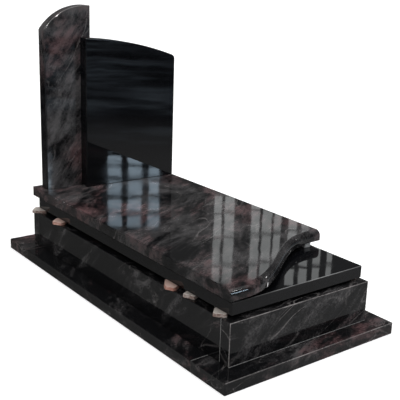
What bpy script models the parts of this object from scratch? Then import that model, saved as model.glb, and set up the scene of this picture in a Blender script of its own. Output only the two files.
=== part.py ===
"""Polished granite grave monument: a border laid on the ground, a hollow kerb, a black slab,
a cover with an S-shaped front, a tall stele and a black headstone. Metres, +Z up, the front
faces -Y, and the origin is at the middle of the footprint, on the ground."""
import math

import bmesh
import bpy
from mathutils import Matrix, Vector

# Driving dimensions
BASE_WIDTH = 1.000
BASE_LENGTH = 2.000
BASE_HEIGHT = 0.056
BASE_STRIP_WIDTH = 0.226

KERB_SIDE_MARGIN = 0.091
KERB_FRONT_MARGIN = 0.091
KERB_BACK_MARGIN = 0.134
KERB_HEIGHT = 0.195
KERB_FRONT_THICKNESS = 0.060
KERB_SIDE_THICKNESS = 0.055

SLAB_SIDE_INSET = 0.0255
SLAB_FRONT_INSET = 0.025
SLAB_BACK_INSET = 0.020
SLAB_THICKNESS = 0.057

SLAB_SPACER_HEIGHT = 0.016
SLAB_SPACER_WIDTH = 0.062
SLAB_SPACER_PROUD = 0.011
COVER_SPACER_HEIGHT = 0.022
COVER_SPACER_LENGTH = 0.036
COVER_SPACER_WIDTH = 0.060
COVER_SPACER_EDGE = 0.022
COVER_SPACER_FROM_FRONT = 0.006
COVER_SPACER_FROM_BACK = 0.150

COVER_SIDE_OVERHANG = 0.035
COVER_THICKNESS = 0.052
COVER_FRONT_OVERHANG = 0.032
OGEE_DEPTH = 0.336
OGEE_FROM_LEFT = 0.078
OGEE_FROM_RIGHT = 0.059
NOSE_RADIUS = 0.030
NOSE_FOOT_RADIUS = 0.006

STELE_WIDTH = 0.279
STELE_THICKNESS = 0.060
STELE_HEIGHT = 0.997
STELE_LEFT_INSET = 0.034
STELE_BACK_INSET = 0.048
STELE_SHOULDER_DROP = 0.126
STELE_CREST_FROM_RIGHT = 0.032
STELE_SHOULDER_RADIUS = 0.026
STELE_EDGE_RADIUS = 0.013

HEADSTONE_OVERLAP = 0.064
HEADSTONE_THICKNESS = 0.064
HEADSTONE_HEIGHT = 0.828
HEADSTONE_ARC_RADIUS = 1.960
HEADSTONE_CREST_FROM_LEFT = 0.076
HEADSTONE_CORNER_RADIUS = 0.028
HEADSTONE_EDGE_RADIUS = 0.006

ARRIS = 0.0020
BLOCK_ARRIS = 0.0015
STONE_BACK_ARRIS = 0.0030
CLEARANCE = 0.0003

# Segments along the curved outlines and round edges
OGEE_SEGMENTS = 36
ARC_SEGMENTS = 18
CORNER_SEGMENTS = 5
NOSE_SEGMENTS = 6
EDGE_SEGMENTS = 4
SHARP_ANGLE = math.radians(40)
FLAT_ANGLE = math.radians(0.2)
MERGE = 0.00001

# Blocks that carry the slab: kerb end they are set out from (1 front, -1 back), distance of
# their middle from it, length, turn about Z in degrees, and how far their outer end is set in
LEFT_BLOCKS = (
    (1, 0.094, 0.060, 3.0, 0.011),
    (1, 0.303, 0.069, -2.0, 0.024),
    (1, 0.441, 0.080, -9.0, 0.000),
    (-1, 0.288, 0.066, -6.0, 0.000),
    (-1, 0.044, 0.063, 3.0, 0.000),
)
RIGHT_BLOCKS = (
    (1, 0.100, 0.062, -3.0, 0.009),
    (1, 0.660, 0.072, 5.0, 0.004),
    (-1, 0.555, 0.066, -4.0, 0.014),
    (-1, 0.085, 0.064, 2.0, 0.006),
)

# Places worked out from the dimensions, bottom to top
base_left = -BASE_WIDTH / 2
base_right = BASE_WIDTH / 2
base_front = -BASE_LENGTH / 2
base_back = BASE_LENGTH / 2

kerb_left = base_left + KERB_SIDE_MARGIN
kerb_right = base_right - KERB_SIDE_MARGIN
kerb_front = base_front + KERB_FRONT_MARGIN
kerb_back = base_back - KERB_BACK_MARGIN
kerb_bottom = BASE_HEIGHT + CLEARANCE
kerb_top = kerb_bottom + KERB_HEIGHT

slab_left = kerb_left + SLAB_SIDE_INSET
slab_right = kerb_right - SLAB_SIDE_INSET
slab_front = kerb_front + SLAB_FRONT_INSET
slab_back = kerb_back - SLAB_BACK_INSET
slab_bottom = kerb_top + CLEARANCE + SLAB_SPACER_HEIGHT + CLEARANCE
slab_top = slab_bottom + SLAB_THICKNESS

cover_left = slab_left - COVER_SIDE_OVERHANG
cover_right = slab_right + COVER_SIDE_OVERHANG
cover_front = slab_front - COVER_FRONT_OVERHANG
cover_back = slab_back
cover_bottom = slab_top + CLEARANCE + COVER_SPACER_HEIGHT + CLEARANCE
cover_top = cover_bottom + COVER_THICKNESS
ogee_left = cover_left + OGEE_FROM_LEFT
ogee_right = cover_right - OGEE_FROM_RIGHT
ogee_run = ogee_right - ogee_left

stone_bottom = cover_top + CLEARANCE
stele_left = cover_left + STELE_LEFT_INSET
stele_right = stele_left + STELE_WIDTH
stele_back = cover_back - STELE_BACK_INSET
stele_front = stele_back - STELE_THICKNESS

headstone_right = cover_right
headstone_left = stele_right - HEADSTONE_OVERLAP
headstone_back = stele_front - CLEARANCE
headstone_front = headstone_back - HEADSTONE_THICKNESS


def clear_scene():
    for item in list(bpy.data.objects):
        bpy.data.objects.remove(item, do_unlink=True)


def make_collection(name):
    collection = bpy.data.collections.new(name)
    bpy.context.scene.collection.children.link(collection)
    return collection


def make_material(name, color, roughness):
    material = bpy.data.materials.new(name)
    material.use_nodes = True
    shader = material.node_tree.nodes["Principled BSDF"]
    shader.inputs["Base Color"].default_value = (*color, 1.0)
    shader.inputs["Roughness"].default_value = roughness
    shader.inputs["Metallic"].default_value = 0.0
    material.diffuse_color = (*color, 1.0)
    return material


def link_mesh(collection, name, mesh, material):
    item = bpy.data.objects.new(name, mesh)
    mesh.materials.append(material)
    collection.objects.link(item)
    return item


def add_bevel(item, width, segments, limit):
    bevel = item.modifiers.new("Rounded edges", "BEVEL")
    bevel.width = width
    bevel.segments = segments
    bevel.limit_method = limit
    bevel.angle_limit = SHARP_ANGLE
    bevel.use_clamp_overlap = True


def add_block(collection, name, low, high, arris, material, turn=0.0):
    """A squared block between two corners, with its sharp edges eased."""
    low = Vector(low)
    high = Vector(high)
    mesh = bpy.data.meshes.new(name)
    shape = bmesh.new()
    bmesh.ops.create_cube(shape, size=1.0, matrix=Matrix.Diagonal((*(high - low), 1.0)))
    shape.to_mesh(mesh)
    shape.free()
    item = link_mesh(collection, name, mesh, material)
    item.location = (low + high) / 2
    item.rotation_euler.z = math.radians(turn)
    add_bevel(item, arris, 1, "ANGLE")
    return item


def arc_points(centre, radius, start, end, segments):
    """Points along an arc about a centre, both ends included, angles in radians."""
    points = []
    for step in range(segments + 1):
        angle = start + (end - start) * step / segments
        points.append((centre[0] + radius * math.cos(angle), centre[1] + radius * math.sin(angle)))
    return points


def plate_mesh(name, outline, thickness):
    """A flat outline given thickness, centred on its own plane, as a mesh with whole faces."""
    curve = bpy.data.curves.new(name, "CURVE")
    curve.dimensions = "2D"
    curve.fill_mode = "BOTH"
    curve.extrude = thickness / 2
    spline = curve.splines.new("POLY")
    spline.points.add(len(outline) - 1)
    for point, (u, v) in zip(spline.points, outline):
        point.co = (u, v, 0.0, 1.0)
    spline.use_cyclic_u = True
    guide = bpy.data.objects.new(name + "_outline", curve)
    bpy.context.scene.collection.objects.link(guide)
    bpy.context.view_layer.update()
    evaluated = guide.evaluated_get(bpy.context.evaluated_depsgraph_get())
    mesh = bpy.data.meshes.new_from_object(evaluated)
    mesh.name = name
    bpy.data.objects.remove(guide, do_unlink=True)
    shape = bmesh.new()
    shape.from_mesh(mesh)
    bmesh.ops.remove_doubles(shape, verts=shape.verts, dist=MERGE)
    bmesh.ops.dissolve_limit(shape, angle_limit=FLAT_ANGLE, verts=shape.verts, edges=shape.edges)
    bmesh.ops.recalc_face_normals(shape, faces=shape.faces)
    shape.to_mesh(mesh)
    shape.free()
    return mesh


def weigh_edges(mesh, weigh):
    """Bevel weights for the edges, from a function of an edge's two ends."""
    weights = mesh.attributes.new("bevel_weight_edge", "FLOAT", "EDGE")
    for edge in mesh.edges:
        ends = [mesh.vertices[index].co for index in edge.vertices]
        weights.data[edge.index].value = weigh(*ends)


def build_base(collection, material):
    """Four strips laid flat as a ring: front and back run the full width."""
    inner_left = base_left + BASE_STRIP_WIDTH
    inner_right = base_right - BASE_STRIP_WIDTH
    inner_front = base_front + BASE_STRIP_WIDTH
    inner_back = base_back - BASE_STRIP_WIDTH
    side_front = inner_front + CLEARANCE
    side_back = inner_back - CLEARANCE
    strips = (
        ("base_front_strip", base_left, base_right, base_front, inner_front),
        ("base_back_strip", base_left, base_right, inner_back, base_back),
        ("base_left_strip", base_left, inner_left, side_front, side_back),
        ("base_right_strip", inner_right, base_right, side_front, side_back),
    )
    for name, left, right, front, back in strips:
        add_block(collection, name, (left, front, 0.0), (right, back, BASE_HEIGHT), ARRIS, material)


def build_kerb(collection, material):
    """Four upright panels around a hollow: front and back panels cover the ends of the sides."""
    inner_front = kerb_front + KERB_FRONT_THICKNESS
    inner_back = kerb_back - KERB_FRONT_THICKNESS
    side_front = inner_front + CLEARANCE
    side_back = inner_back - CLEARANCE
    panels = (
        ("kerb_front_panel", kerb_left, kerb_right, kerb_front, inner_front),
        ("kerb_back_panel", kerb_left, kerb_right, inner_back, kerb_back),
        ("kerb_left_panel", kerb_left, kerb_left + KERB_SIDE_THICKNESS, side_front, side_back),
        ("kerb_right_panel", kerb_right - KERB_SIDE_THICKNESS, kerb_right, side_front, side_back),
    )
    for name, left, right, front, back in panels:
        add_block(collection, name, (left, front, kerb_bottom), (right, back, kerb_top), ARRIS, material)


def build_slab_blocks(collection, material):
    """Small blocks on the kerb's side panels that hold the black slab off the kerb."""
    bottom = kerb_top + CLEARANCE
    top = bottom + SLAB_SPACER_HEIGHT
    rows = (
        ("slab_block_left", kerb_left - SLAB_SPACER_PROUD, 1, LEFT_BLOCKS),
        ("slab_block_right", kerb_right + SLAB_SPACER_PROUD, -1, RIGHT_BLOCKS),
    )
    for row_name, proudest, inward, blocks in rows:
        for number, (end, distance, length, turn, set_in) in enumerate(blocks, 1):
            left, right = sorted((proudest + inward * set_in, proudest + inward * SLAB_SPACER_WIDTH))
            middle = kerb_front + distance if end > 0 else kerb_back - distance
            add_block(
                collection, f"{row_name}_{number}",
                (left, middle - length / 2, bottom), (right, middle + length / 2, top),
                BLOCK_ARRIS, material, turn,
            )


def build_slab(collection, material):
    """The flat black slab that closes the kerb."""
    add_block(
        collection, "black_slab",
        (slab_left, slab_front, slab_bottom), (slab_right, slab_back, slab_top),
        ARRIS, material,
    )


def ogee_front(x):
    """The cover's front edge in plan: forward on the left, a smooth S back to the right."""
    share = min(max((x - ogee_left) / ogee_run, 0.0), 1.0)
    return cover_front + OGEE_DEPTH * (1 - math.cos(math.pi * share)) / 2


def build_cover_blocks(collection, material):
    """Four thin stone blocks that hold the cover off the black slab, near its corners."""
    bottom = slab_top + CLEARANCE
    top = bottom + COVER_SPACER_HEIGHT
    left = slab_left + COVER_SPACER_EDGE
    right = slab_right - COVER_SPACER_EDGE - COVER_SPACER_LENGTH
    back = cover_back - COVER_SPACER_FROM_BACK
    places = (
        ("cover_block_front_left", left, slab_front + COVER_SPACER_EDGE),
        ("cover_block_front_right", right, ogee_front(cover_right) + COVER_SPACER_FROM_FRONT),
        ("cover_block_back_left", left, back),
        ("cover_block_back_right", right, back),
    )
    for name, x, y in places:
        add_block(
            collection, name,
            (x, y, bottom), (x + COVER_SPACER_LENGTH, y + COVER_SPACER_WIDTH, top),
            BLOCK_ARRIS, material,
        )


def build_cover(collection, material):
    """The cover slab: straight sides and back, an S in plan and a round nose at the front."""
    outline = [(cover_right, cover_back), (cover_left, cover_back), (cover_left, cover_front)]
    for step in range(OGEE_SEGMENTS + 1):
        x = ogee_left + ogee_run * step / OGEE_SEGMENTS
        outline.append((x, ogee_front(x)))
    outline.append((cover_right, ogee_front(cover_right)))
    mesh = plate_mesh("cover_slab", outline, COVER_THICKNESS)
    half = COVER_THICKNESS / 2
    front_limit = cover_front + OGEE_DEPTH + NOSE_RADIUS

    def nose_weight(a, b):
        lies_flat = abs(a.z - b.z) < MERGE
        runs_back = max(a.y, b.y) > front_limit
        if not lies_flat or runs_back:
            return 0.0
        return 1.0 if a.z > half - MERGE else NOSE_FOOT_RADIUS / NOSE_RADIUS

    weigh_edges(mesh, nose_weight)
    item = link_mesh(collection, "cover_slab", mesh, material)
    item.location.z = cover_bottom + half
    add_bevel(item, NOSE_RADIUS, NOSE_SEGMENTS, "WEIGHT")
    add_bevel(item, ARRIS, 1, "ANGLE")


def upright_stone(collection, name, outline, front, back, edge_radius, material):
    """A standing stone from its outline seen from the front, with round front edges."""
    mesh = plate_mesh(name, outline, back - front)
    half = (back - front) / 2

    def edge_weight(a, b):
        on_foot = max(a.y, b.y) < stone_bottom + MERGE
        along_depth = abs(a.z - b.z) > MERGE
        if on_foot or along_depth:
            return 0.0
        return 1.0 if a.z > half - MERGE else STONE_BACK_ARRIS / edge_radius

    weigh_edges(mesh, edge_weight)
    item = link_mesh(collection, name, mesh, material)
    item.location.y = (front + back) / 2
    item.rotation_euler.x = math.radians(90)
    add_bevel(item, edge_radius, EDGE_SEGMENTS, "WEIGHT")
    add_bevel(item, ARRIS, 1, "ANGLE")


def build_stele(collection, material):
    """The tall stone: a low shoulder on the left rising in a quarter arch to the right."""
    crown = stone_bottom + STELE_HEIGHT
    crest_x = stele_right - STELE_CREST_FROM_RIGHT
    span = crest_x - stele_left
    radius = (span ** 2 + STELE_SHOULDER_DROP ** 2) / (2 * STELE_SHOULDER_DROP)
    centre = (crest_x, crown - radius)
    shoulder_x = stele_left + STELE_SHOULDER_RADIUS
    reach = radius - STELE_SHOULDER_RADIUS
    shoulder_rise = math.sqrt(reach ** 2 - (crest_x - shoulder_x) ** 2)
    meeting = math.atan2(shoulder_rise, shoulder_x - crest_x)
    right_end = math.acos(STELE_CREST_FROM_RIGHT / radius)
    outline = [(stele_left, stone_bottom), (stele_right, stone_bottom)]
    outline += arc_points(centre, radius, right_end, meeting, ARC_SEGMENTS)
    shoulder = (shoulder_x, centre[1] + shoulder_rise)
    outline += arc_points(shoulder, STELE_SHOULDER_RADIUS, meeting, math.pi, CORNER_SEGMENTS)[1:]
    upright_stone(
        collection, "tall_stele", outline, stele_front, stele_back, STELE_EDGE_RADIUS, material,
    )


def build_headstone(collection, material):
    """The wide black stone: its top falls in a long flat arc to a rounded right corner."""
    centre_x = headstone_left - HEADSTONE_CREST_FROM_LEFT
    left_rise = math.sqrt(HEADSTONE_ARC_RADIUS ** 2 - HEADSTONE_CREST_FROM_LEFT ** 2)
    centre = (centre_x, stone_bottom + HEADSTONE_HEIGHT - left_rise)
    corner_x = headstone_right - HEADSTONE_CORNER_RADIUS
    reach = HEADSTONE_ARC_RADIUS - HEADSTONE_CORNER_RADIUS
    corner_rise = math.sqrt(reach ** 2 - (corner_x - centre_x) ** 2)
    meeting = math.atan2(corner_rise, corner_x - centre_x)
    left_end = math.atan2(left_rise, HEADSTONE_CREST_FROM_LEFT)
    outline = [(headstone_left, stone_bottom), (headstone_right, stone_bottom)]
    corner = (corner_x, centre[1] + corner_rise)
    outline += arc_points(corner, HEADSTONE_CORNER_RADIUS, 0.0, meeting, CORNER_SEGMENTS)
    outline += arc_points(centre, HEADSTONE_ARC_RADIUS, meeting, left_end, ARC_SEGMENTS)[1:]
    upright_stone(
        collection, "black_headstone", outline, headstone_front, headstone_back,
        HEADSTONE_EDGE_RADIUS, material,
    )


def build_monument():
    clear_scene()
    parts = make_collection("headstone")
    purple_granite = make_material("purple granite", (0.060, 0.050, 0.055), 0.12)
    black_granite = make_material("black granite", (0.010, 0.010, 0.012), 0.06)
    packing_wood = make_material("packing wood", (0.52, 0.36, 0.28), 0.75)
    grey_stone = make_material("grey stone", (0.36, 0.36, 0.37), 0.60)
    build_base(parts, purple_granite)
    build_kerb(parts, purple_granite)
    build_slab_blocks(parts, packing_wood)
    build_slab(parts, black_granite)
    build_cover_blocks(parts, grey_stone)
    build_cover(parts, purple_granite)
    build_stele(parts, purple_granite)
    build_headstone(parts, black_granite)


build_monument()
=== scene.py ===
import math

import bmesh
import bpy
from mathutils import Matrix, Vector


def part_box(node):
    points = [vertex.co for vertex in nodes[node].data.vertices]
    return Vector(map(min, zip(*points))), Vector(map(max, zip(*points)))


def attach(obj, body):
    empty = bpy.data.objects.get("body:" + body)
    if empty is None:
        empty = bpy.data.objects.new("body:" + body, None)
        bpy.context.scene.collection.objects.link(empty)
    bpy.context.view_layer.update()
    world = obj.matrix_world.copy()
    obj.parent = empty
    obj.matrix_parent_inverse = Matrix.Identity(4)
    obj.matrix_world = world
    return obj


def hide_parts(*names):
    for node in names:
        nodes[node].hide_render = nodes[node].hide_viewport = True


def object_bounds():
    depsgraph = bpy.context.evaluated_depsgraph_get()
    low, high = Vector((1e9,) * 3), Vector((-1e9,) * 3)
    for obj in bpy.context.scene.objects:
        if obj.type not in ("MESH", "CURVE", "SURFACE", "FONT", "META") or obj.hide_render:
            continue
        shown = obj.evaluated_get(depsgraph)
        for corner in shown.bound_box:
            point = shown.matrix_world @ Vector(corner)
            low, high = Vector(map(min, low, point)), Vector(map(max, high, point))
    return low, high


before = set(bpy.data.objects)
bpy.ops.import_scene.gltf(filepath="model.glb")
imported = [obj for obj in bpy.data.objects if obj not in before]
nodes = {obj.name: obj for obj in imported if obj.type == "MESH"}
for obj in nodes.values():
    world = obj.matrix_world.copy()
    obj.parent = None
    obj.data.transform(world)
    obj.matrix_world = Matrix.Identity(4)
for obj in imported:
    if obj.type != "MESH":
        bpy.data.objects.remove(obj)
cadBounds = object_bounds()
print("frame loaded:", len(nodes), "nodes")


# Shader helpers: sums on sockets are written as plain expressions

class Wire:
    def __init__(self, finish, socket):
        self.finish = finish
        self.socket = socket

    def maths(self, operation, first, second):
        return self.finish.node("ShaderNodeMath", {"operation": operation}, {0: first, 1: second})

    def __add__(self, other):
        return self.maths("ADD", self, other)

    __radd__ = __add__

    def __sub__(self, other):
        return self.maths("SUBTRACT", self, other)

    def __rsub__(self, other):
        return self.maths("SUBTRACT", other, self)

    def __mul__(self, other):
        return self.maths("MULTIPLY", self, other)

    __rmul__ = __mul__

    def __abs__(self):
        return self.maths("ABSOLUTE", self, 0.0)


class Finish:
    def __init__(self, name, constants):
        self.material = bpy.data.materials.new(name)
        self.material.use_nodes = True
        self.tree = self.material.node_tree
        self.shader = self.tree.nodes["Principled BSDF"]
        for socket, value in constants.items():
            self.shader.inputs[socket].default_value = value

    def node(self, kind, settings, sockets, output=0):
        made = self.tree.nodes.new(kind)
        for key, value in settings.items():
            setattr(made, key, value)
        for key, value in sockets.items():
            self.feed(made.inputs[key], value)
        return Wire(self, made.outputs[output])

    def feed(self, socket, value):
        if isinstance(value, Wire):
            self.tree.links.new(value.socket, socket)
        elif socket.type == "RGBA":
            socket.default_value = (*value, 1.0)
        else:
            socket.default_value = value

    def place(self):
        return self.node("ShaderNodeTexCoord", {}, {}, "Object")

    def split(self, vector, axes):
        return [self.node("ShaderNodeSeparateXYZ", {}, {0: vector}, axis) for axis in axes]

    def laid(self, vector, shift, turn, stretch):
        # features run along the turned X axis, drawn out by the stretch
        turns = [math.radians(angle) for angle in turn]
        return self.node("ShaderNodeMapping", {"vector_type": "TEXTURE"}, {
            "Vector": vector, "Location": shift, "Rotation": turns, "Scale": stretch,
        })

    def warped(self, vector, scale, amount):
        # the noise's colour, centred on zero, pushes the coordinates about
        settings = {"Vector": vector, "Scale": scale, "Detail": 2.0}
        push = self.node("ShaderNodeTexNoise", {}, settings, "Color")
        middle = (0.5, 0.5, 0.5)
        centred = self.node("ShaderNodeVectorMath", {"operation": "SUBTRACT"}, {0: push, 1: middle})
        sized = self.node("ShaderNodeVectorMath", {"operation": "SCALE"}, {0: centred, "Scale": amount})
        return self.node("ShaderNodeVectorMath", {"operation": "ADD"}, {0: vector, 1: sized})

    def noise(self, vector, scale, detail=3.0, rough=0.5):
        return self.node("ShaderNodeTexNoise", {}, {
            "Vector": vector, "Scale": scale, "Detail": detail, "Roughness": rough,
        })

    def fade(self, value, start, end):
        # 0 at start, 1 at end, smooth between them
        return self.node("ShaderNodeMapRange", {"interpolation_type": "SMOOTHSTEP"}, {
            "Value": value, "From Min": start, "From Max": end,
        })

    def mix(self, factor, first, second, blend="MIX"):
        return self.node("ShaderNodeMix", {"data_type": "RGBA", "blend_type": blend}, {
            0: factor, 6: first, 7: second,
        }, 2)

    def relief(self, height, distance, strength):
        bump = self.node("ShaderNodeBump", {}, {
            "Height": height, "Distance": distance, "Strength": strength,
        })
        self.feed(self.shader.inputs["Normal"], bump)


# Camera: the photograph's own point of view, found from the edges of the slabs

photoView = {
    "place": (-2.25201, -3.07238, 1.60446),
    "heading": 37.427,  # degrees from the back of the grave towards the right
    "lookDown": 16.397,
    "roll": 1.832,
    "lens": 70.21,
    "shift": (0.00732, -0.00501),
    "sensor": 36.0,
    "reach": 400.0,
}


def placeCamera(view):
    camera = bpy.data.objects.new("photoCamera", bpy.data.cameras.new("photoCamera"))
    bpy.context.scene.collection.objects.link(camera)
    camera.data.lens = view["lens"]
    camera.data.sensor_width = view["sensor"]
    camera.data.shift_x, camera.data.shift_y = view["shift"]
    camera.data.clip_end = view["reach"]
    camera.matrix_world = (
        Matrix.Translation(view["place"])
        @ Matrix.Rotation(math.radians(-view["heading"]), 4, "Z")
        @ Matrix.Rotation(math.radians(90 - view["lookDown"]), 4, "X")
        @ Matrix.Rotation(math.radians(view["roll"]), 4, "Z")
    )
    bpy.context.scene.camera = camera


placeCamera(photoView)
print("camera placed")


# Stone finishes

roseGranite = {
    "charcoal": (0.0050, 0.0051, 0.0058),
    "smoke": (0.108, 0.103, 0.105),
    "rose": (0.185, 0.105, 0.108),
    "wisp": (0.340, 0.315, 0.310),
    "polish": 0.035,
    "smears": 0.05,  # how much duller the polish gets where it was handled
    "ior": 1.5,
    # texture scale and share of the 3 cm streaks, the 1 cm mottle and the 3 mm crystals
    "streaks": (26.0, 0.50),
    "mottle": (95.0, 0.34),
    "crystals": (260.0, 0.22),
    "hazeStart": 0.36,
    "hazeSpread": 0.46,
    "roseStart": 0.64,
    "roseSpread": 0.26,
    "roseShare": 0.74,
    "swarmStart": 0.60,
    "swarmSpread": 0.20,
    "curl": 0.11,  # how far the wisps are bent
    # texture scale, detail, half width and share of the pale arcs
    "longArcs": (6.0, 1.0, 0.020, 0.42),
    "fineArcs": (11.0, 1.5, 0.028, 0.30),
    "paintedLeftShadeEdge": (0.014, 0.004),  # distances from the left edge where the painted shade on the left flank starts and is full
    # heights between which that painted shade fades in, full below the lower one
    "paintedLeftShadeHeights": (1.20, 0.95),
}
# distances from the edge where the painted highlight on the eased edges starts and is full
edgeHighlightBand = {"start": 0.0040, "full": 0.0015}


def paintedEdgeHighlights(finish, place, node):
    # the eased edges in front, along the top and down the left corner, get a painted highlight: paler
    # where they would catch the light
    low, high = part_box(node)
    start, full = edgeHighlightBand["start"], edgeHighlightBand["full"]
    x, y, z = finish.split(place, "XYZ")
    front = finish.fade(y, low.y + start, low.y + full)
    return {
        "top": front * finish.fade(z, high.z - start, high.z - full),
        "corner": front * finish.fade(x, low.x + start, low.x + full),
    }


def roseGraniteFinish(node, cut):
    look = roseGranite
    finish = Finish("roseGranite_" + node, {"Roughness": look["polish"], "IOR": look["ior"]})
    place = finish.place()
    laid = finish.laid(place, cut["shift"], cut["run"], cut["stretch"])
    flow = finish.warped(laid, 1.7, 0.30)
    curls = finish.warped(flow, 5.0, 0.035)

    # the make-up of the stone at each size
    streakScale, streakShare = look["streaks"]
    mottleScale, mottleShare = look["mottle"]
    crystalScale, crystalShare = look["crystals"]
    drawn = finish.laid(curls, (0.4, 2.3, 1.1), (0, 0, 0), (1.9, 1.0, 1.0))
    streaks = finish.noise(drawn, streakScale, 4.0, 0.6) - 0.5
    mottle = finish.noise(place, mottleScale, 3.0, 0.6) - 0.5
    crystals = finish.noise(place, crystalScale, 2.0, 0.6) - 0.5
    fine = mottle * mottleShare + crystals * crystalShare
    ragged = streaks * streakShare + fine * cut.get("grain", 1.0)

    # smoky haze over charcoal
    haze = finish.noise(flow, 5.0, 6.0, 0.62) + ragged
    hazeStart = look["hazeStart"] + cut["depth"]
    smoky = finish.fade(haze, hazeStart, hazeStart + cut.get("spread", look["hazeSpread"]))
    tone = finish.mix(smoky, look["charcoal"], look["smoke"])

    # dusky rose clouds with the same ragged edges
    cloudPlace = finish.laid(flow, (3.1, 0.7, 1.9), (0, 0, 25), (1.0, 1.0, 1.0))
    clouds = finish.noise(cloudPlace, 3.2, 5.0, 0.6)
    roseStart = look["roseStart"] - 0.20 * cut["rosiness"]
    rosy = finish.fade(clouds + ragged * 0.8, roseStart, roseStart + look["roseSpread"])
    tone = finish.mix(rosy * look["roseShare"], tone, look["rose"])

    # pale wisps: arcs where a drawn-out noise crosses its middle, gathered in swarms and broken up
    swarmStart = look["swarmStart"] - 0.24 * cut["wispiness"]
    swarm = finish.fade(finish.noise(flow, 2.8, 3.0, 0.55), swarmStart, swarmStart + look["swarmSpread"])
    bent = finish.warped(flow, 3.2, cut.get("curl", look["curl"]))
    strands = finish.laid(bent, (1.3, 0.2, 2.7), (0, 0, 0), (1.7, 1.0, 1.0))
    arcs = 0.0
    for scale, detail, halfWidth, share in (look["longArcs"], look["fineArcs"]):
        crossing = abs(finish.noise(strands, scale, detail, 0.4) - 0.5)
        arcs = arcs + finish.fade(crossing, halfWidth, 0.0) * share
    broken = finish.fade(finish.noise(curls, 11.0, 3.0, 0.6) + mottle * 0.6, 0.36, 0.70)
    tone = finish.mix(arcs * swarm * (0.06 + 0.94 * broken), tone, look["wisp"])

    # painted shade down the left flank: darker near the left edge, fading in towards the bottom
    if "paintedLeftShade" in cut:
        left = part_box(node)[0].x
        x, z = finish.split(place, "XZ")
        edgeStart, edgeFull = look["paintedLeftShadeEdge"]
        paintedLeftShade = finish.fade(x, left + edgeStart, left + edgeFull) * finish.fade(z, *look["paintedLeftShadeHeights"])
        tone = finish.mix(paintedLeftShade * cut["paintedLeftShade"], tone, look["charcoal"])

    # painted highlight on the eased edges in front
    if "paintedEdgeHighlights" in cut:
        edges = paintedEdgeHighlights(finish, place, node)
        for edge in cut["paintedEdgeHighlights"]:
            tone = finish.mix(edges[edge] * (0.25 + 0.55 * broken), tone, look["wisp"])
    finish.feed(finish.shader.inputs["Base Color"], tone)

    # faint handling marks in the polish and the slight swell of a ground face
    marks = finish.fade(finish.noise(place, 7.0, 4.0, 0.6), 0.45, 0.80)
    finish.feed(finish.shader.inputs["Roughness"], look["polish"] + look["smears"] * marks)
    finish.relief(finish.noise(place, 6.0, 1.0), 0.0006, 0.5)
    return finish.material


blackGranite = {
    "ground": (0.0030, 0.0032, 0.0040),
    "fleck": (0.016, 0.017, 0.020),
    # tone of the painted highlight on the front top edge
    "edgeHighlightTone": (0.34, 0.34, 0.34),
    "polish": 0.025,
    "smears": 0.04,
    "ior": 1.5,
}


def blackGraniteFinish(name, node=None):
    # given a node, its front top edge gets a painted highlight
    look = blackGranite
    finish = Finish(name, {"Roughness": look["polish"], "IOR": look["ior"]})
    place = finish.place()
    flecks = finish.fade(finish.noise(place, 520.0, 2.0, 0.6), 0.55, 0.72)
    veil = finish.fade(finish.noise(finish.warped(place, 3.0, 0.2), 6.0, 4.0, 0.6), 0.45, 0.80)
    tone = finish.mix(flecks * 0.6 + veil * 0.12, look["ground"], look["fleck"])
    if node:
        broken = finish.fade(finish.noise(place, 4.0, 2.0, 0.5), 0.35, 0.65)
        edge = paintedEdgeHighlights(finish, place, node)["top"]
        tone = finish.mix(edge * (0.20 + 0.50 * broken), tone, look["edgeHighlightTone"])
    finish.feed(finish.shader.inputs["Base Color"], tone)
    marks = finish.fade(finish.noise(place, 6.0, 4.0, 0.6), 0.45, 0.80)
    finish.feed(finish.shader.inputs["Roughness"], look["polish"] + look["smears"] * marks)
    finish.relief(finish.noise(place, 5.0, 1.0), 0.0006, 0.5)
    return finish.material


sawnGreyStone = {"dark": (0.20, 0.20, 0.205), "light": (0.46, 0.46, 0.465), "roughness": 0.62}


def sawnGreyFinish():
    look = sawnGreyStone
    finish = Finish("sawnGreyStone", {"Roughness": look["roughness"]})
    place = finish.place()
    grain = finish.fade(finish.noise(place, 260.0, 3.0, 0.65), 0.30, 0.70)
    finish.feed(finish.shader.inputs["Base Color"], finish.mix(grain, look["dark"], look["light"]))
    finish.relief(finish.noise(place, 300.0, 2.0), 0.0008, 0.6)
    return finish.material


# heights between which the chips' darker sides give way to their paler tops: painted light on the tops
# and painted shade on the sides
paintedLitTop = {"start": 0.2648, "full": 0.2674}
packingWoods = {
    "palePacking": {"shadedHeart": (0.20, 0.125, 0.105), "pale": (0.64, 0.58, 0.53), "roughness": 0.72},
    "rosyPacking": {"shadedHeart": (0.38, 0.17, 0.125), "pale": (0.70, 0.49, 0.42), "roughness": 0.72},
}


def packingWoodFinish(name):
    look = packingWoods[name]
    finish = Finish(name, {"Roughness": look["roughness"]})
    place = finish.place()
    # painted light: the tops are made paler, and the sides keep the darker, redder tone as painted
    # shade; grain and patches also mix the two
    grainPlace = finish.laid(finish.warped(place, 14.0, 0.015), (0, 0, 0), (0, 0, 80), (8.0, 1.0, 1.0))
    rings = finish.noise(grainPlace, 210.0, 3.0, 0.6)
    height = finish.split(place, "Z")[0]
    litTop = finish.fade(height, paintedLitTop["start"], paintedLitTop["full"])
    patches = finish.noise(place, 60.0, 2.0, 0.5)
    pale = finish.fade(litTop * 0.34 + rings * 0.45 + patches * 0.75, 0.50, 0.92)
    finish.feed(finish.shader.inputs["Base Color"], finish.mix(pale, look["shadedHeart"], look["pale"]))
    finish.relief(rings, 0.0010, 0.7)
    return finish.material


jointFillings = {
    "pale": {"dark": (0.18, 0.178, 0.175), "light": (0.34, 0.335, 0.33), "roughness": 0.5},
    "dark": {"dark": (0.010, 0.010, 0.011), "light": (0.045, 0.043, 0.043), "roughness": 0.4},
}


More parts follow.
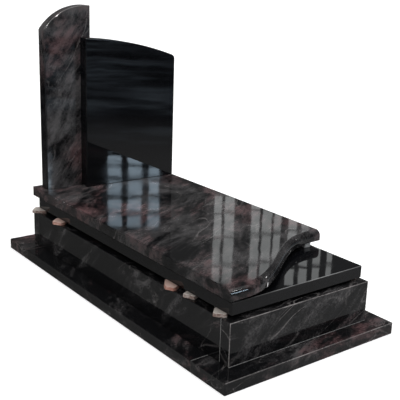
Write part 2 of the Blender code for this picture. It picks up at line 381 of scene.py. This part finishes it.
def jointFillingFinish(shade):
    look = jointFillings[shade]
    finish = Finish("jointFilling_" + shade, {"Roughness": look["roughness"]})
    grain = finish.fade(finish.noise(finish.place(), 160.0, 3.0, 0.6), 0.3, 0.7)
    finish.feed(finish.shader.inputs["Base Color"], finish.mix(grain, look["dark"], look["light"]))
    return finish.material


# every slab is its own cut of the block: where from, how the pattern runs, and its share of each tone;
# some also have a haze of another spread, less fine grain, more curl, painted shade down the left flank
# or a painted highlight on the eased edges in front
graniteCuts = {
    "base_front_strip": {
        "shift": (0.3, 0.1, 0.7), "run": (0, 0, 22), "stretch": (2.2, 1.0, 1.0),
        "rosiness": 0.50, "wispiness": 0.70, "depth": 0.12, "spread": 0.34, "grain": 0.5,
        "paintedEdgeHighlights": ("top",),
    },
    "base_back_strip": {
        "shift": (2.1, 0.4, 1.2), "run": (0, 0, -15), "stretch": (2.0, 1.0, 1.0),
        "rosiness": 0.90, "wispiness": 0.40, "depth": 0.08,
    },
    # painted shade: this left-facing piece takes a deeper haze and less rose than its right-hand fellow
    "base_left_strip": {
        "shift": (4.1, 3.2, 9.7), "run": (0, 0, 60), "stretch": (2.0, 1.0, 1.0),
        "rosiness": 0.25, "wispiness": 0.40, "depth": 0.15, "spread": 0.34, "grain": 0.7,
    },
    "base_right_strip": {
        "shift": (5.2, 2.6, 3.1), "run": (0, 0, 60), "stretch": (2.0, 1.0, 1.0),
        "rosiness": 0.40, "wispiness": 0.40, "depth": 0.12,
    },
    "kerb_front_panel": {
        "shift": (3.3, 1.5, 5.8), "run": (0, -28, 0), "stretch": (1.9, 1.0, 1.0),
        "rosiness": 0.32, "wispiness": 0.90, "depth": 0.075, "curl": 0.17,
        "paintedEdgeHighlights": ("top", "corner"),
    },
    "kerb_back_panel": {
        "shift": (8.4, 3.1, 1.1), "run": (0, -20, 0), "stretch": (2.2, 1.0, 1.0),
        "rosiness": 0.45, "wispiness": 0.50, "depth": 0.08,
    },
    # painted shade: this left-facing piece takes a deeper haze and less rose than its right-hand fellow
    "kerb_left_panel": {
        "shift": (9.7, 0.9, 4.2), "run": (0, -37, -90), "stretch": (2.2, 1.0, 1.0),
        "rosiness": 0.10, "wispiness": 0.36, "depth": 0.17, "spread": 0.32, "grain": 0.7,
    },
    "kerb_right_panel": {
        "shift": (1.3, 5.1, 2.6), "run": (0, -37, -90), "stretch": (2.2, 1.0, 1.0),
        "rosiness": 0.30, "wispiness": 0.40, "depth": 0.12,
    },
    "cover_slab": {
        "shift": (0.3, 7.2, 9.7), "run": (0, 0, 35), "stretch": (1.8, 1.0, 1.0),
        "rosiness": 0.70, "wispiness": 0.70, "depth": 0.02, "spread": 0.40, "grain": 0.5,
        "paintedLeftShade": 0.4,
    },
    "tall_stele": {
        "shift": (0.4, 6.1, 0.9), "run": (0, -57, 0), "stretch": (1.6, 1.0, 1.0),
        "rosiness": 0.70, "wispiness": 1.00, "depth": -0.01, "spread": 0.34, "grain": 0.4,
        "paintedLeftShade": 0.9,
    },
}
graniteFinishes = {node: roseGraniteFinish(node, cut) for node, cut in graniteCuts.items()}
blackPolish = blackGraniteFinish("blackGranite")
slabPolish = blackGraniteFinish("blackGraniteSlab", "black_slab")
greySawn = sawnGreyFinish()
woodFinishes = {name: packingWoodFinish(name) for name in packingWoods}
fillings = {shade: jointFillingFinish(shade) for shade in jointFillings}
print("finishes made:", len(bpy.data.materials))


def dress(item, material):
    if not item.material_slots:
        item.data.materials.append(material)
    for slot in item.material_slots:
        slot.material = material


for node, item in nodes.items():
    if node in graniteFinishes:
        dress(item, graniteFinishes[node])
    elif node.startswith("cover_block"):
        dress(item, greySawn)
    elif node.startswith("slab_block"):
        dress(item, woodFinishes["palePacking"])
    elif node == "black_slab":
        dress(item, slabPolish)
    else:
        dress(item, blackPolish)
print("frame nodes dressed")


# Shaped stones, remade with finer curves than the frame's solids

def arcPoints(centre, radius, start, end, steps):
    points = []
    for step in range(steps + 1):
        angle = start + (end - start) * step / steps
        points.append((centre[0] + radius * math.cos(angle), centre[1] + radius * math.sin(angle)))
    return points


def plateMesh(name, outline, low, high, upright):
    # a closed outline given thickness: lying between two heights, or standing between two depths
    mesh = bpy.data.meshes.new(name)
    shape = bmesh.new()
    if upright:
        corners = [shape.verts.new((u, low, v)) for u, v in outline]
        push = Vector((0, high - low, 0))
    else:
        corners = [shape.verts.new((u, v, low)) for u, v in outline]
        push = Vector((0, 0, high - low))
    first = shape.faces.new(corners)
    raised = bmesh.ops.extrude_face_region(shape, geom=[first])
    moved = [part for part in raised["geom"] if isinstance(part, bmesh.types.BMVert)]
    bmesh.ops.translate(shape, verts=moved, vec=push)
    bmesh.ops.recalc_face_normals(shape, faces=shape.faces)
    shape.to_mesh(mesh)
    shape.free()
    return mesh


creaseAngle = math.radians(40)
smallRound = {"width": 0.002, "segments": 3}
tolerance = 1e-5


def roundEdges(item, width, segments, limit):
    bevel = item.modifiers.new("roundEdges", "BEVEL")
    bevel.width = width
    bevel.segments = segments
    bevel.limit_method = limit
    bevel.angle_limit = creaseAngle


def shapedStone(name, node, mesh, bigRadius, bigSegments, edgeWeight, material):
    weights = mesh.attributes.new("bevel_weight_edge", "FLOAT", "EDGE")
    for edge in mesh.edges:
        ends = [mesh.vertices[index].co for index in edge.vertices]
        weights.data[edge.index].value = edgeWeight(*ends)
    mesh.materials.append(material)
    item = bpy.data.objects.new(name, mesh)
    bpy.context.scene.collection.objects.link(item)
    roundEdges(item, bigRadius, bigSegments, "WEIGHT")
    roundEdges(item, smallRound["width"], smallRound["segments"], "ANGLE")
    mesh.shade_smooth()
    settle = item.modifiers.new("flatFaces", "WEIGHTED_NORMAL")
    settle.keep_sharp = True
    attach(item, "root")
    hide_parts(node)
    return item


coverShape = {
    "ogeeDepth": 0.336,
    "ogeeFromLeft": 0.078,
    "ogeeFromRight": 0.059,
    "noseRadius": 0.030,
    "noseFootRadius": 0.006,
    "ogeeSteps": 90,
    "noseSteps": 12,
}


def makeCover():
    shape = coverShape
    low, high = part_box("cover_slab")
    ogeeLeft = low.x + shape["ogeeFromLeft"]
    ogeeRun = high.x - shape["ogeeFromRight"] - ogeeLeft

    def ogeeFront(share):
        return low.y + shape["ogeeDepth"] * (1 - math.cos(math.pi * share)) / 2

    outline = [(high.x, high.y), (low.x, high.y), (low.x, low.y)]
    for step in range(shape["ogeeSteps"] + 1):
        share = step / shape["ogeeSteps"]
        outline.append((ogeeLeft + ogeeRun * share, ogeeFront(share)))
    outline.append((high.x, ogeeFront(1)))
    mesh = plateMesh("coverSlab", outline, low.z, high.z, False)
    behindNose = ogeeFront(1) + shape["noseRadius"]

    def noseWeight(a, b):
        if abs(a.z - b.z) > tolerance or max(a.y, b.y) > behindNose:
            return 0.0
        return 1.0 if a.z > low.z + tolerance else shape["noseFootRadius"] / shape["noseRadius"]

    item = shapedStone(
        "coverSlab", "cover_slab", mesh, shape["noseRadius"], shape["noseSteps"], noseWeight,
        graniteFinishes["cover_slab"],
    )


def frontEdgeWeight(front, foot, backShare):
    # full rounding in front, a small arris behind, none along the foot or through the thickness
    def weight(a, b):
        if abs(a.y - b.y) > tolerance or max(a.z, b.z) < foot + tolerance:
            return 0.0
        return 1.0 if a.y < front + tolerance else backShare
    return weight


steleShape = {
    "shoulderDrop": 0.126,
    "crestFromRight": 0.032,
    "shoulderRadius": 0.026,
    "edgeRadius": 0.021,
    "backArris": 0.003,
    "archSteps": 48,
    "shoulderSteps": 12,
    "edgeSteps": 8,
}


def makeStele():
    shape = steleShape
    low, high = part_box("tall_stele")
    crestX = high.x - shape["crestFromRight"]
    span = crestX - low.x
    radius = (span ** 2 + shape["shoulderDrop"] ** 2) / (2 * shape["shoulderDrop"])
    centre = (crestX, high.z - radius)
    shoulderX = low.x + shape["shoulderRadius"]
    rise = math.sqrt((radius - shape["shoulderRadius"]) ** 2 - (crestX - shoulderX) ** 2)
    meeting = math.atan2(rise, shoulderX - crestX)
    rightEnd = math.acos(shape["crestFromRight"] / radius)
    outline = [(low.x, low.z), (high.x, low.z)]
    outline += arcPoints(centre, radius, rightEnd, meeting, shape["archSteps"])
    shoulder = (shoulderX, centre[1] + rise)
    outline += arcPoints(shoulder, shape["shoulderRadius"], meeting, math.pi, shape["shoulderSteps"])[1:]
    mesh = plateMesh("tallStele", outline, low.y, high.y, True)
    item = shapedStone(
        "tallStele", "tall_stele", mesh, shape["edgeRadius"], shape["edgeSteps"],
        frontEdgeWeight(low.y, low.z, shape["backArris"] / shape["edgeRadius"]),
        graniteFinishes["tall_stele"],
    )


headstoneShape = {
    "archRadius": 1.960,
    "crestFromLeft": 0.076,
    "cornerRadius": 0.028,
    "edgeRadius": 0.006,
    "backArris": 0.003,
    "archSteps": 48,
    "cornerSteps": 12,
    "edgeSteps": 5,
}


def makeHeadstone():
    shape = headstoneShape
    low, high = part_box("black_headstone")
    centreX = low.x - shape["crestFromLeft"]
    leftRise = math.sqrt(shape["archRadius"] ** 2 - shape["crestFromLeft"] ** 2)
    centre = (centreX, high.z - leftRise)
    cornerX = high.x - shape["cornerRadius"]
    cornerRise = math.sqrt((shape["archRadius"] - shape["cornerRadius"]) ** 2 - (cornerX - centreX) ** 2)
    meeting = math.atan2(cornerRise, cornerX - centreX)
    leftEnd = math.atan2(leftRise, shape["crestFromLeft"])
    corner = (cornerX, centre[1] + cornerRise)
    outline = [(low.x, low.z), (high.x, low.z)]
    outline += arcPoints(corner, shape["cornerRadius"], 0.0, meeting, shape["cornerSteps"])
    outline += arcPoints(centre, shape["archRadius"], meeting, leftEnd, shape["archSteps"])[1:]
    mesh = plateMesh("blackHeadstone", outline, low.y, high.y, True)
    item = shapedStone(
        "blackHeadstone", "black_headstone", mesh, shape["edgeRadius"], shape["edgeSteps"],
        frontEdgeWeight(low.y, low.z, shape["backArris"] / shape["edgeRadius"]), blackPolish,
    )


makeCover()
makeStele()
makeHeadstone()
print("cover and upright stones made")


# Packing chips: each squared block of the frame becomes a rough offcut of about its size, turned alike

chipShape = {
    "endLoss": 0.0085,  # how much shorter than its block a chip is at each end
    "outerLoss": 0.0035,  # and how far its outer end is set in
    "topLoss": 0.0030,  # how far the sides lean in towards the top
    "jog": 0.0016,  # how far a split side steps in half way up
    "edgeRound": 0.0012,
    "splitPoint": 0.42,  # how much of the loss the middle point of a broken corner keeps
}
# share of the side that each corner has lost: outer front, inner front, inner back, outer back
chipCorners = {
    "slab_block_left_1": ((0.10, 0.06), (0.10, 0.10), (0.12, 0.20), (0.14, 0.10)),
    "slab_block_left_2": ((0.05, 0.05), (0.10, 0.08), (0.18, 0.10), (0.10, 0.06)),
    "slab_block_left_3": ((0.10, 0.14), (0.08, 0.10), (0.08, 0.10), (0.42, 0.70)),
    "slab_block_left_4": ((0.20, 0.22), (0.10, 0.10), (0.10, 0.20), (0.22, 0.18)),
    "slab_block_left_5": ((0.12, 0.08), (0.08, 0.14), (0.20, 0.12), (0.10, 0.16)),
    "slab_block_right_1": ((0.12, 0.20), (0.10, 0.06), (0.12, 0.08), (0.18, 0.10)),
    "slab_block_right_2": ((0.20, 0.10), (0.08, 0.12), (0.10, 0.18), (0.12, 0.12)),
    "slab_block_right_3": ((0.08, 0.12), (0.34, 0.40), (0.12, 0.10), (0.10, 0.14)),
    "slab_block_right_4": ((0.16, 0.10), (0.12, 0.08), (0.20, 0.16), (0.08, 0.12)),
}
rosyChips = ("slab_block_left_3", "slab_block_left_4", "slab_block_right_2")


def blockCorners(item):
    # the block's four upright edges: outer front, inner front, inner back, outer back
    points = [item.matrix_world @ vertex.co for vertex in item.data.vertices]
    ends = [[points[index] for index in edge.vertices] for edge in item.data.edges]
    level = [b - a for a, b in ends if abs(a.z - b.z) < tolerance]
    along = max(level, key=lambda span: span.length).normalized()
    if abs(along.x) > abs(along.y):
        along = Vector((-along.y, along.x, 0.0))
    if along.y < 0:
        along = -along
    inward = Vector((along.y, -along.x, 0.0))
    if points[0].x > 0:
        inward = -inward
    outer, inner = [pick(inward.dot(point) for point in points) for pick in (min, max)]
    front, back = [pick(along.dot(point) for point in points) for pick in (min, max)]
    corners = ((outer, front), (inner, front), (inner, back), (outer, back))
    return [inward * a + along * b for a, b in corners]


def makeChip(node, corners):
    shape = chipShape
    low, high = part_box(node)
    squared = blockCorners(nodes[node])
    along = (squared[2] - squared[1]).normalized() * shape["endLoss"]
    inward = (squared[1] - squared[0]).normalized() * shape["outerLoss"]
    losses = (along + inward, along, -along, inward - along)
    squared = [corner + loss for corner, loss in zip(squared, losses)]
    outline = []
    for index, corner in enumerate(squared):
        before = squared[index - 1] - corner
        after = squared[(index + 1) % 4] - corner
        # the two shares run along the kerb and across it
        shares = corners[index] if index % 2 else corners[index][::-1]
        outline.append(corner + before * shares[1])
        kept = shape["splitPoint"]
        outline.append(corner + before * shares[1] * kept + after * shares[0] * kept)
        outline.append(corner + after * shares[0])
    middle = sum(outline, Vector()) / len(outline)
    mesh = bpy.data.meshes.new("chip_" + node)
    solid = bmesh.new()
    rings = []
    for share in (0.0, 0.5, 1.0):
        ring = []
        for index, point in enumerate(outline):
            inward = (middle - point).normalized()
            step = shape["jog"] * (index % 3) / 2 if share == 0.5 else 0.0
            at = point + inward * (shape["topLoss"] * share * (0.4 + 0.3 * (index % 4)) + step)
            ring.append(solid.verts.new((at.x, at.y, low.z + (high.z - low.z) * share)))
        rings.append(ring)
    solid.faces.new(reversed(rings[0]))
    solid.faces.new(rings[-1])
    for lower, upper in zip(rings, rings[1:]):
        for index in range(len(outline)):
            following = (index + 1) % len(outline)
            solid.faces.new((lower[index], lower[following], upper[following], upper[index]))
    bmesh.ops.recalc_face_normals(solid, faces=solid.faces)
    solid.to_mesh(mesh)
    solid.free()
    mesh.materials.append(woodFinishes["rosyPacking" if node in rosyChips else "palePacking"])
    item = bpy.data.objects.new("chip_" + node, mesh)
    bpy.context.scene.collection.objects.link(item)
    roundEdges(item, shape["edgeRound"], 2, "ANGLE")
    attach(item, "root")
    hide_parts(node)


for node, corners in chipCorners.items():
    makeChip(node, corners)
print("packing chips made:", len(chipCorners))


# Filled joints: cement set a little back between the eased edges, and a bead along the kerb's foot

jointShape = {
    "halfWidth": 0.0017,
    "setBack": 0.0004,
    "depth": 0.003,
    "bead": 0.0012,
    "edgeRound": 0.0004,
}


def makeBar(name, low, high, shade):
    mesh = bpy.data.meshes.new(name)
    bar = bmesh.new()
    bmesh.ops.create_cube(bar, size=1.0)
    size = Vector(high) - Vector(low)
    middle = (Vector(high) + Vector(low)) / 2
    for vertex in bar.verts:
        vertex.co = Vector([part * full for part, full in zip(vertex.co, size)]) + middle
    bar.to_mesh(mesh)
    bar.free()
    mesh.materials.append(fillings[shade])
    item = bpy.data.objects.new(name, mesh)
    bpy.context.scene.collection.objects.link(item)
    roundEdges(item, jointShape["edgeRound"], 2, "ANGLE")
    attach(item, "root")


def makeJoints():
    half = jointShape["halfWidth"]
    back = jointShape["setBack"]
    depth = jointShape["depth"]
    baseLow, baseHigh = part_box("base_front_strip")
    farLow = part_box("base_back_strip")[0]
    kerbLow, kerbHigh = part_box("kerb_front_panel")
    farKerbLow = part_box("kerb_back_panel")[0]
    sides = (("left", 1, baseLow.x, kerbLow.x), ("right", -1, baseHigh.x, kerbHigh.x))
    # the front joints were filled pale, those behind and down the border's sides to match the stone
    borderJoints = (("front", "pale", baseHigh.y), ("back", "dark", farLow.y))
    kerbJoints = (("front", "pale", kerbHigh.y), ("back", "dark", farKerbLow.y))

    def crossBar(name, ends, joint, low, high, shade):
        makeBar(name, (min(ends), joint - half, low), (max(ends), joint + half, high), shade)

    for side, inward, outer, kerbOuter in sides:
        face = outer + inward * back
        top = baseHigh.z - back
        for place, shade, joint in borderJoints:
            which = side + "_" + place
            crossBar("borderTopJoint_" + which, (face, kerbOuter), joint, baseHigh.z - depth, top, shade)
            ends = (face, outer + inward * depth)
            crossBar("borderSideJoint_" + which, ends, joint, baseLow.z + depth, top, "dark")
        for place, shade, joint in kerbJoints:
            which = side + "_" + place
            ends = (kerbOuter + inward * back, kerbOuter + inward * depth)
            crossBar("kerbJoint_" + which, ends, joint, kerbLow.z + back, kerbHigh.z - back, shade)
    bead = jointShape["bead"]
    foot = (kerbLow.x + back, kerbLow.y - bead, baseHigh.z)
    makeBar("kerbFootBead", foot, (kerbHigh.x - back, kerbLow.y + depth, baseHigh.z + bead), "pale")


makeJoints()
print("joints filled")


# Floor and light

studio = {
    "floorColour": (0.86, 0.86, 0.86),
    "floorGlow": 0.45,  # lifts the floor to the pale ground that the eye sees
    "floorSize": 240.0,
    "floorGap": 0.0004,
    "frontWay": (0.6, -0.8, 0.0),  # from the middle towards the front right
    "frontSpread": (-1.2, 1.2),  # metres along it over which left passes into front
    "mirroredNearLeft": (0.130, 0.130, 0.126),  # tones of the floor that the polish mirrors
    "mirroredNearFront": (0.325, 0.323, 0.321),
    "mirroredFarLeft": (0.020, 0.020, 0.022),
    "mirroredFarFront": (0.135, 0.165, 0.190),
    "mirroredSpread": (1.5, 4.2),  # metres from the middle over which near passes into far
    "skyLow": 0.07,
    "skyHigh": 2.0,
    "skyAxis": (-0.10, -0.22, 0.96),  # the overhead light leans a little towards the front
    "skyStart": 54.0,  # degrees from that axis where the light ends, and where it is full
    "skyFull": 28.0,
}


def makeFloor():
    mesh = bpy.data.meshes.new("studioFloor")
    shape = bmesh.new()
    bmesh.ops.create_grid(shape, x_segments=1, y_segments=1, size=studio["floorSize"] / 2)
    shape.to_mesh(mesh)
    shape.free()
    floor = bpy.data.objects.new("studioFloor", mesh)
    bpy.context.scene.collection.objects.link(floor)
    floor.location.z = cadBounds[0][2] - studio["floorGap"]
    finish = Finish("studioFloor", {
        "Roughness": 0.9, "Specular IOR Level": 0.0, "Emission Strength": studio["floorGlow"],
    })
    # the polish mirrors a deeper tone than the pale one that the eye sees
    place = finish.place()
    mirrored = finish.node("ShaderNodeLightPath", {}, {}, "Is Glossy Ray")
    seen = finish.node("ShaderNodeLightPath", {}, {}, "Is Camera Ray")
    along = {0: place, 1: studio["frontWay"]}
    ahead = finish.node("ShaderNodeVectorMath", {"operation": "DOT_PRODUCT"}, along, "Value")
    away = finish.node("ShaderNodeVectorMath", {"operation": "LENGTH"}, {0: place}, "Value")
    # dim drifting bands stand in for the things far off
    bands = finish.laid(place, (0, 0, 0), (0, 0, 33), (2.2, 1.0, 1.0))
    clouded = finish.fade(finish.noise(bands, 0.75, 3.0, 0.55), 0.40, 0.60)
    stacked = finish.fade(finish.noise(bands, 2.6, 4.0, 0.65), 0.42, 0.58)
    inFront = finish.fade(ahead, *studio["frontSpread"])
    nearEnd, farEnd = studio["mirroredSpread"]
    near = finish.fade(away, farEnd, nearEnd)
    nearTone = finish.mix(inFront, studio["mirroredNearLeft"], studio["mirroredNearFront"])
    farTone = finish.mix(inFront, studio["mirroredFarLeft"], studio["mirroredFarFront"])
    shading = (0.10 + 1.80 * clouded) * (0.45 + 0.90 * stacked)
    farTone = finish.mix(1.0, farTone, shading, "MULTIPLY")
    tone = finish.mix(near, farTone, nearTone)
    finish.feed(finish.shader.inputs["Base Color"], finish.mix(mirrored, studio["floorColour"], tone))
    finish.feed(finish.shader.inputs["Emission Color"], finish.mix(seen, (0, 0, 0), (1, 1, 1)))
    mesh.materials.append(finish.material)


def makeSky():
    world = bpy.data.worlds.new("studioSky")
    bpy.context.scene.world = world
    world.use_nodes = True
    tree = world.node_tree
    background = tree.nodes["Background"]
    background.inputs["Color"].default_value = (1.0, 1.0, 1.0, 1.0)
    direction = tree.nodes.new("ShaderNodeTexCoord")
    towards = tree.nodes.new("ShaderNodeVectorMath")
    towards.operation = "DOT_PRODUCT"
    towards.inputs[1].default_value = Vector(studio["skyAxis"]).normalized()
    ramp = tree.nodes.new("ShaderNodeMapRange")
    ramp.interpolation_type = "SMOOTHSTEP"
    ramp.inputs["From Min"].default_value = math.cos(math.radians(studio["skyStart"]))
    ramp.inputs["From Max"].default_value = math.cos(math.radians(studio["skyFull"]))
    ramp.inputs["To Min"].default_value = studio["skyLow"]
    ramp.inputs["To Max"].default_value = studio["skyHigh"]
    tree.links.new(direction.outputs["Generated"], towards.inputs[0])
    tree.links.new(towards.outputs["Value"], ramp.inputs["Value"])
    seen = tree.nodes.new("ShaderNodeLightPath")
    pale = tree.nodes.new("ShaderNodeMix")
    pale.data_type = "FLOAT"
    pale.inputs[3].default_value = 1.0
    tree.links.new(seen.outputs["Is Camera Ray"], pale.inputs[0])
    tree.links.new(ramp.outputs["Result"], pale.inputs[2])
    tree.links.new(pale.outputs[0], background.inputs["Strength"])


def softbox(name, aim, place, size, radiance, tint=(1.0, 1.0, 1.0)):
    # a soft panel square to its aim; its power gives the stated brightness
    light = bpy.data.lights.new(name, "AREA")
    light.shape = "RECTANGLE"
    light.size, light.size_y = size
    light.energy = radiance * math.pi * size[0] * size[1]
    light.color = tint
    item = bpy.data.objects.new(name, light)
    bpy.context.scene.collection.objects.link(item)
    item.location = place
    facing = item.location - Vector(aim)
    item.rotation_euler = facing.to_track_quat("Z", "Y").to_euler()
    item.visible_camera = False
    return item


# two banks of small panels: columns give place across and width, rows give height and tallness
backBank = {
    "azimuth": 43.0, "distance": 9.0, "slant": 0.16, "radiance": 0.78, "tint": (0.97, 1.0, 1.0),
    "columns": (
        (-0.43, 0.13), (-0.23, 0.17), (0.22, 0.15), (0.42, 0.16), (0.60, 0.12),
        (0.86, 0.15), (1.08, 0.14), (1.30, 0.12), (1.52, 0.09),
    ),
    "rows": ((3.00, 0.28), (3.38, 0.38), (3.86, 0.44), (4.30, 0.28)),
}
frontBank = {
    "azimuth": 147.5, "distance": 9.0, "slant": 0.0, "radiance": 19.5, "tint": (0.66, 0.84, 1.0),
    "columns": ((1.02, 0.06), (-0.15, 0.25), (-0.51, 0.25), (-0.87, 0.20)),
    "rows": ((2.60, 0.12), (2.82, 0.17), (3.12, 0.25), (3.45, 0.23), (3.76, 0.22)),
}
# lamps that the eased edges and round corners mirror: place, size and radiance
edgeLamps = {
    "noseLampLeft": ((2.01, -2.76, 3.01), (0.05, 0.07), 70.0),
    "noseLampFar": ((3.92, -0.68, 1.97), (0.12, 0.16), 30.0),
    "archLampLow": ((-0.51, -2.96, 2.79), (0.22, 0.50), 260.0),
    "archLampHigh": ((0.48, -2.94, 2.71), (0.26, 0.40), 260.0),
    "headstoneCornerLamp": ((-3.62, -1.23, 0.42), (0.20, 0.80), 4.0),
}


def makeLights():
    coverMiddle = Vector((0.0, -0.1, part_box("cover_slab")[1].z))
    for name, bank in (("backPanel", backBank), ("frontPanel", frontBank)):
        around = math.radians(bank["azimuth"])
        away = Vector((math.sin(around), math.cos(around), 0.0))
        side = Vector((away.y, -away.x, 0.0))
        for across, width in bank["columns"]:
            for height, tall in bank["rows"]:
                place = away * bank["distance"] + side * across
                place.z = height - bank["slant"] * across
                softbox(name, coverMiddle, place, (width, tall), bank["radiance"], bank["tint"])
    for name, (place, size, radiance) in edgeLamps.items():
        lamp = softbox(name, coverMiddle, place, size, radiance)
        lamp.visible_diffuse = False


makeFloor()
makeSky()
makeLights()
bpy.context.scene.view_settings.view_transform = "Standard"
print("floor and lights made")
